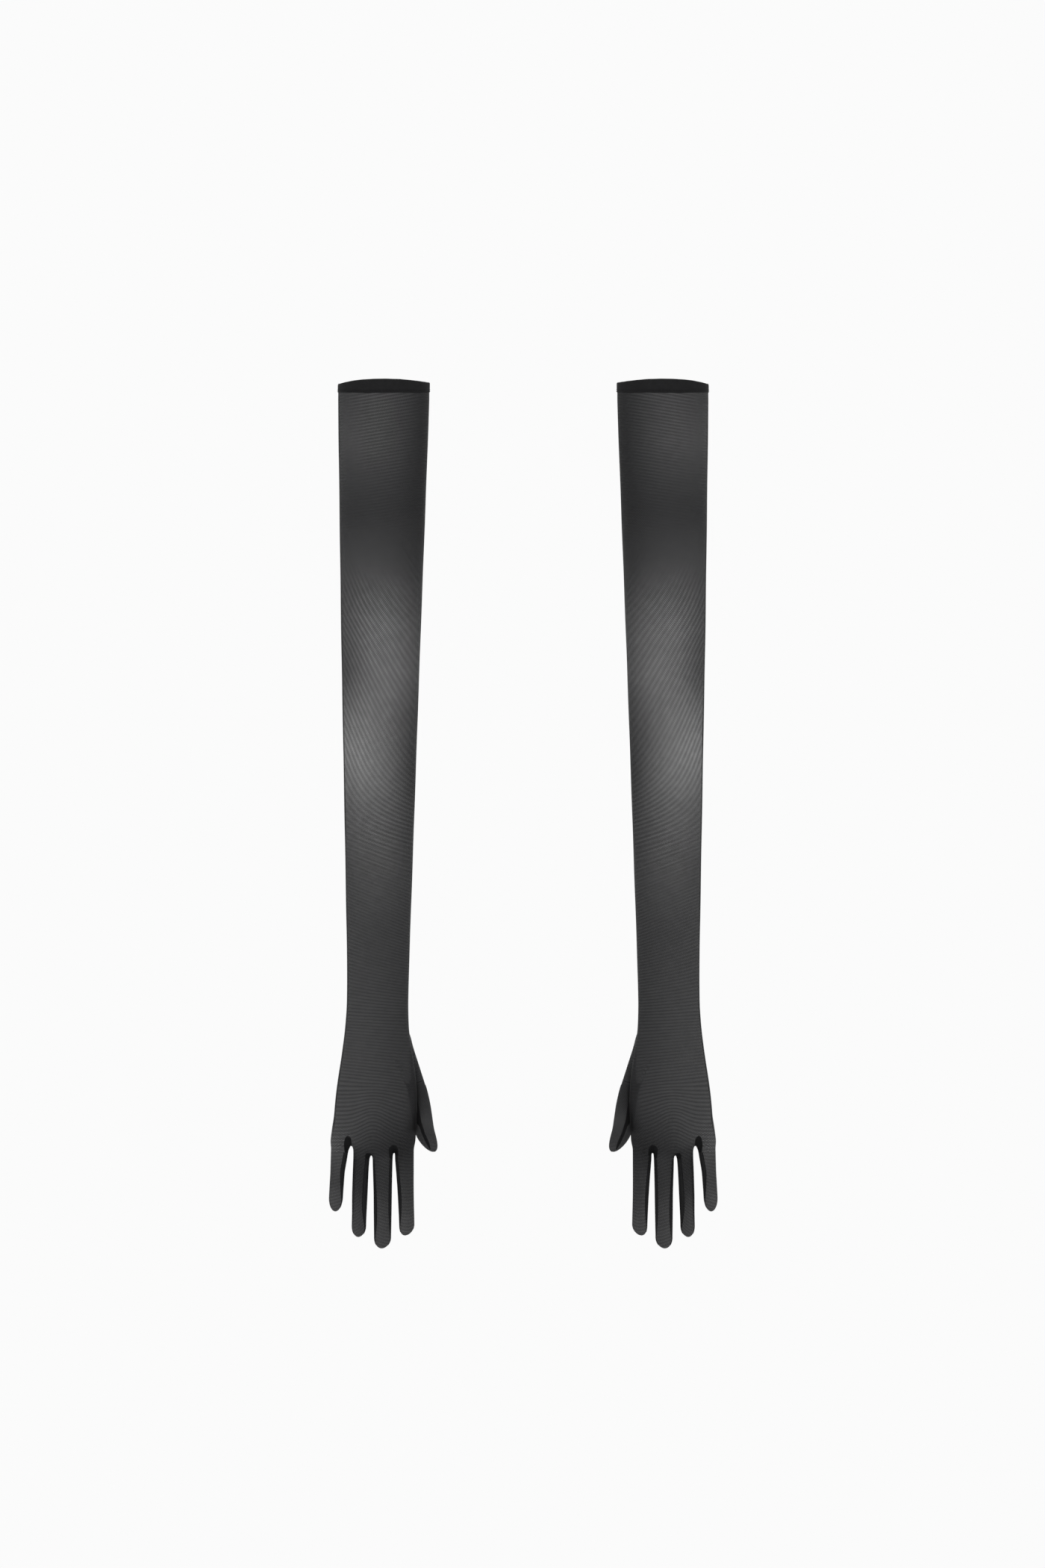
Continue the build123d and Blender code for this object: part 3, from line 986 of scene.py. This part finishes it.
def cut_along(points, loops, field):
    """Splits every face where a field on the points changes sign."""
    positive = field > 0
    points = list(points)
    crossings = {}

    def crossing(a, b):
        key = (min(a, b), max(a, b))
        if key not in crossings:
            share = np.clip(field[a] / (field[a] - field[b]), 0.02, 0.98)
            crossings[key] = len(points)
            points.append(points[a] + share * (points[b] - points[a]))
        return crossings[key]

    made = []
    for loop in loops:
        if positive[loop].all() or not positive[loop].any():
            made.append(loop)
            continue
        halves = {True: [], False: []}
        for a, b in zip(loop, loop[1:] + loop[:1]):
            halves[bool(positive[a])].append(a)
            if positive[a] != positive[b]:
                middle = crossing(a, b)
                halves[True].append(middle)
                halves[False].append(middle)
        made += list(halves.values())
    return np.array(points), made


def on_finger(name, points):
    """True for points on one finger's side of the crotches, and not on the thumb."""
    low, high = FINGERS[name]["reach"]
    return (points[:, 0] > low) & (points[:, 0] <= high) & ~on_thumb(points)


def thumb_lead(points):
    """Positive where the hand is farther than the thumb."""
    x, y, z = points[:, 0], points[:, 1], points[:, 2]
    return hand_distance(x, y, z) - thumb_distance(x, y, z)


def on_thumb(points):
    """True for points of the thumb below the fork of thumb and palm."""
    return (thumb_lead(points) > 0) & (points[:, 2] < THUMB_FORK)


def beyond(points, plane):
    """Distance past a plane, towards the tip."""
    return (points - np.array(plane[0])) @ np.array(plane[1])


def split_depth(name):
    """Height where a finger's upper piece ends and its lower piece starts."""
    f = FINGERS[name]
    return f["root"] + 0.55 * (f["middle"] - f["root"])


def solved_hand():
    """The hand's cloth from above the wrist to the fingertips, cut along every sewn or moving line."""
    points, faces = surface_net(*HAND_BOX, CELL, glove_distance)
    points = evened(onto_surface(points), faces, 4)
    loops = [list(map(int, f)) for f in faces]

    def cut(field_of, mine):
        nonlocal points, loops
        points, loops = cut_along(points, loops, np.where(mine(points), field_of(points), 1.0))

    cut(lambda p: SPLIT_Z - p[:, 2], lambda p: np.full(len(p), True))
    for name, f in FINGERS.items():
        for z in (f["root"], split_depth(name)):
            cut(lambda p, z=z: p[:, 2] - z, lambda p: on_finger(name, p) & (p[:, 2] < f["root"] + 2.5))
        cut(lambda p: strip_field(name, p), lambda p: on_finger(name, p) & (p[:, 2] < f["root"] + 0.01))
    cut(crotch_field, lambda p: ~on_thumb(p))
    cut(thumb_lead, lambda p: (p[:, 2] < THUMB_FORK) & (p[:, 0] > -95))
    for plane in (THUMB_ROOT, THUMB_MIDDLE_SPLIT):
        cut(lambda p, plane=plane: -beyond(p, plane), on_thumb)
    cut(thumb_strip_field, on_thumb)
    return points, loops


def face_labels(points, loops):
    """Which piece each face belongs to."""
    centres = np.array([points[f].mean(0) for f in loops])
    z = centres[:, 2]
    labels = np.full(len(loops), "hand", dtype=object)
    labels[(crotch_field(centres) < 0) & ~on_thumb(centres)] = "hand_strips"
    for name, f in FINGERS.items():
        mine = on_finger(name, centres) & (z < f["root"])
        strip = strip_field(name, centres) < 0
        low = z < split_depth(name)
        labels[mine & ~low & ~strip] = f"{name}_base"
        labels[mine & ~low & strip] = f"{name}_base_strips"
        labels[mine & low & ~strip] = f"{name}_tip"
        labels[mine & low & strip] = f"{name}_tip_strips"
    thumb = on_thumb(centres) & (beyond(centres, THUMB_ROOT) > 0)
    end = thumb & (beyond(centres, THUMB_MIDDLE_SPLIT) > 0)
    labels[thumb] = "thumb_base"
    labels[end] = "thumb_tip"
    labels[end & (thumb_strip_field(centres) < 0)] = "thumb_tip_strips"
    labels[z > SPLIT_Z] = "waste"
    return labels


def picked(points, loops, labels, label):
    """Points and faces of one label, renumbered."""
    mine = [f for f, own in zip(loops, labels) if own == label]
    used = sorted({i for f in mine for i in f})
    number = {old: new for new, old in enumerate(used)}
    return points[used], [tuple(number[i] for i in f) for f in mine]


def strip_seams(name, top, bottom):
    """Sewn edges of a finger's strips between two heights, standing a little proud of the cloth."""
    f = FINGERS[name]
    low = max(bottom, f["dome"] - 0.7 * f["tip"])
    heights = np.linspace(top, low, max(int((top - low) / SEAM_STEP), 4))
    parts = []
    for side in f["strips"]:
        cx, cy, wide, deep = finger_section(name, heights)
        for across in (-strip_front(name, side, heights), strip_back(name, heights)):
            tip = np.clip((f["dome"] - heights) / f["tip"], 0, 1)
            inner = np.clip(1 - (across / deep) ** 2 - tip**2, 0.0004, 1)
            lean = f["lean"] * tip**2
            line = np.stack([cx + lean + side * wide * np.sqrt(inner), cy + across, heights], -1)
            parts.append(tube(onto_surface(line, rounds=3), SEAM_RADIUS))
    return joined(parts)


def thumb_seams(top, bottom):
    """Sewn edge on the outer side of the thumb between two heights."""
    heights = np.linspace(top, bottom, max(int((top - bottom) / SEAM_STEP), 4))
    cx, cy, wide, deep = thumb_section(heights)
    tip = np.sqrt(np.clip(1 - (np.clip(THUMB_DOME - heights, 0, None) / THUMB_TIP) ** 2, 0.0025, 1))
    line = np.stack([cx + wide * tip, cy, heights], -1)
    return tube(onto_surface(line, rounds=3), SEAM_RADIUS)


def thumb_root_ring():
    """Seam that sets the thumb into the hand, a little above the plane of the thumb's root."""
    origin, normal = np.array(THUMB_ROOT[0]), np.array(THUMB_ROOT[1])
    across = np.array([-normal[2], 0, normal[0]])
    turn = (np.arange(48) * 2 * math.pi / 48)[:, None]
    ring = 8.4 * np.cos(turn) * across + 7.4 * np.sin(turn) * np.array([0, 1.0, 0])

    def thumb_only(p):
        return thumb_distance(p[..., 0], p[..., 1], p[..., 2])

    return tube(onto_surface(origin - 1.5 * normal + ring, thumb_only, 3), 0.18, closed=True)


# ---- the pair
# Pieces of one glove. Each row says: name, mesh, finish, part that its weave and tone follow, bodies that
# carry it, CAD nodes that it stands for, slot, and the ends of its span between two bodies.
def sleeve_rows():
    """Hem, sleeve and hand."""
    elbow = ((ARM_X, 0, ELBOW_Z + ELBOW_REACH), (ARM_X, 0, ELBOW_Z - ELBOW_REACH))
    wrist = ((WRIST_X, 0, WRIST_Z + WRIST_REACH), (WRIST_X, 0, WRIST_Z - WRIST_REACH))
    arm, low, cloths = ["upper", "forearm"], ["forearm", "hand"], ["forearm_sleeve", "hand_back", "hand_palm"]
    low_seams = ["forearm_side_seam", "hand_side_seam"]
    return [
        ("hem_fold", "hem", "hem", "arm", ["upper"], ["hem_band"], "hem_cloth", ()),
        ("hem_elastic_tape", "elastic", "elastic", None, ["upper"], ["hem_elastic"], "elastic_tape", ()),
        ("hem_stitches", "stitches", "thread", None, ["upper"], ["hem_stitching"], "sewing_thread", ()),
        ("sleeve", "sleeve", "sheer", "arm", arm, ["upper_sleeve"], CLOTH_SLOT, elbow),
        ("sleeve_seam", "sleeve_seam", "seam", None, arm, ["upper_side_seam"], "seam_cloth", elbow),
        ("hand", "hand", "sheer", "arm", low, cloths, CLOTH_SLOT, wrist),
        # The crotch strips take the darker fourchette cloth: painted shade between the fingers.
        ("crotch_strips", "hand_strips", "fold", "arm", ["hand"], [], "fourchette_cloth", ()),
        ("hand_seam", "hand_seam", "seam", None, low, low_seams, "seam_cloth", wrist),
        ("thumb_set_in_seam", "thumb_root", "seam", None, ["hand"], ["thumb_root_seam"], "seam_cloth", ()),
    ]


def finger_rows():
    """Upper and lower cloth, strips and seams of the fingers."""
    rows = []
    for name, f in FINGERS.items():
        split = split_depth(name)
        cx = finger_section(name, f["root"])[0]
        for key, above, top, low in ((f"{name}_base", "hand", f["root"], split),
                                     (f"{name}_tip", f"{name}_base", split, 2 * f["middle"] - split)):
            bodies, ends = [above, key], ((cx, 0, top), (cx, 0, low))
            strips, seams, nodes = f"{key}_strips", f"{key}_seams", [f"{key}_fourchette"]
            rows += [
                (f"{key}_cloth", key, "sheer", name, bodies, [key], CLOTH_SLOT, ends),
                (strips, strips, "strip", name, bodies, nodes, "fourchette_cloth", ends),
                (seams, seams, "seam", None, bodies, [], "seam_cloth", ends),
            ]
    return rows


def thumb_rows():
    """Upper and lower cloth, seams and strip of the thumb."""
    root, split = THUMB_ROOT[0], THUMB_MIDDLE_SPLIT[0]
    far = tuple(2 * m - s for m, s in zip(THUMB_MIDDLE, split))
    rows = []
    halves = (("thumb_base", "hand", (root, split)), ("thumb_tip", "thumb_base", (split, far)))
    for key, above, ends in halves:
        bodies, seams = [above, key], f"{key}_seams"
        rows += [
            (f"{key}_cloth", key, "sheer", "thumb", bodies, [key], CLOTH_SLOT, ends),
            (seams, seams, "seam", None, bodies, [], "seam_cloth", ends),
        ]
    # The thumb's strip takes the darker fourchette cloth: painted shade.
    strip = ("thumb_strip", "thumb_tip_strips", "fold", "thumb", bodies, [], "fourchette_cloth", ends)
    return rows + [strip]


def make_glove(side, stuff, meshes):
    """Builds every piece of one glove and places it."""
    rows = sleeve_rows() + finger_rows() + thumb_rows()
    for name, key, finish, part, bodies, nodes, slot, ends in rows:
        points, faces = meshes[key]
        piece = build_mesh(f"{side}_{name}", points, faces, side, stuff[finish])
        if part:
            write_weave(piece.data, points, part)
        if finish == "sheer":
            write_tones(piece.data, points, part)
        place(piece, side, bodies, nodes, slot, *ends)


def make_meshes():
    """Every mesh of the right glove, by name."""
    meshes = {
        "hem": rings_mesh(hem_rings()[::-1]),
        "elastic": elastic_mesh(),
        "stitches": hem_stitches(),
        "sleeve": sleeve_mesh(),
        "sleeve_seam": seam_mesh(HEM_LOW - 1.0, SPLIT_Z, 0.0),
        "hand_seam": seam_mesh(SPLIT_Z, HAND_SEAM_END, HAND_SEAM_TAPER),
        "thumb_root": thumb_root_ring(),
        "thumb_base_seams": thumb_seams(THUMB_ROOT[0][2], THUMB_MIDDLE_SPLIT[0][2]),
        "thumb_tip_seams": thumb_seams(THUMB_MIDDLE_SPLIT[0][2], THUMB_SEAM_END),
    }
    points, loops = solved_hand()
    labels = face_labels(points, loops)
    for label in sorted(set(labels) - {"waste"}):
        meshes[label] = picked(points, loops, labels, label)
    for name, f in FINGERS.items():
        split = split_depth(name)
        meshes[f"{name}_base_seams"] = strip_seams(name, f["root"], split)
        meshes[f"{name}_tip_seams"] = strip_seams(name, split, -math.inf)
    return meshes


# ---- camera, light and floor
def make_studio():
    """White surroundings, a white floor far below, a soft lamp in front, and the camera."""
    scene = bpy.context.scene
    scene.camera = add_object("camera", bpy.data.cameras.new("camera"))
    scene.camera.data.lens = CAMERA_LENS
    scene.camera.location = CAMERA_PLACE
    scene.camera.rotation_euler = (math.radians(90), 0, 0)
    scene.view_settings.view_transform = "Standard"
    world = bpy.data.worlds.new("studio")
    world.use_nodes = True
    background = world.node_tree.nodes["Background"]
    background.inputs[0].default_value = (1, 1, 1, 1)
    background.inputs[1].default_value = WHITE
    scene.world = world
    floor_mesh = bpy.data.meshes.new("floor")
    corners = [(x * FLOOR_REACH, y * FLOOR_REACH, 0) for x, y in ((-1, -1), (1, -1), (1, 1), (-1, 1))]
    floor_mesh.from_pydata(corners, [], [(0, 1, 2, 3)])
    floor = add_object("floor", floor_mesh)
    floor.location = (0, 0, FLOOR_HEIGHT)
    pale = Nodes("pale_floor")
    glow = pale.add("ShaderNodeEmission")
    glow.inputs["Color"].default_value = (1, 1, 1, 1)
    glow.inputs["Strength"].default_value = WHITE
    floor_mesh.materials.append(pale.finish(glow))
    light = bpy.data.lights.new("soft_front", "AREA")
    light.shape = "DISK"
    light.size = LAMP_SIZE
    light.energy = LAMP_POWER
    lamp = add_object("soft_front", light)
    lamp.location = LAMP_PLACE
    lamp.rotation_euler = (LAMP_TILT, 0, 0)


make_studio()
finishes = {
    "sheer": sheer_material(),
    "strip": doubled_material("fourchette_mesh", 0.012, (0.0085, 0.0085, 0.0088), (0.0160, 0.0160, 0.0165)),
    # A darker copy of the fourchette cloth: doubled cloth plus painted shade, for the crotches and the
    # thumb's strip.
    "fold": doubled_material("fourchette_with_painted_shade", 0.01, (0.0045, 0.0045, 0.0047), (0.0090, 0.0090, 0.0094)),
    "hem": doubled_material("hem_mesh", 0.02, (0.010, 0.010, 0.0104), (0.016, 0.016, 0.0165)),
    "seam": plain_material("seam_overlock", (0.006, 0.006, 0.0065), 0.8, 900.0, 0.0001),
    "thread": plain_material("sewing_thread", (0.008, 0.008, 0.0085), 0.5, 1500.0, 0.00005),
    "elastic": plain_material("elastic_tape", (0.010, 0.010, 0.011), 0.85, 700.0, 0.0001),
}
glove = make_meshes()
for hand_side in ("right", "left"):
    make_glove(hand_side, finishes, glove)
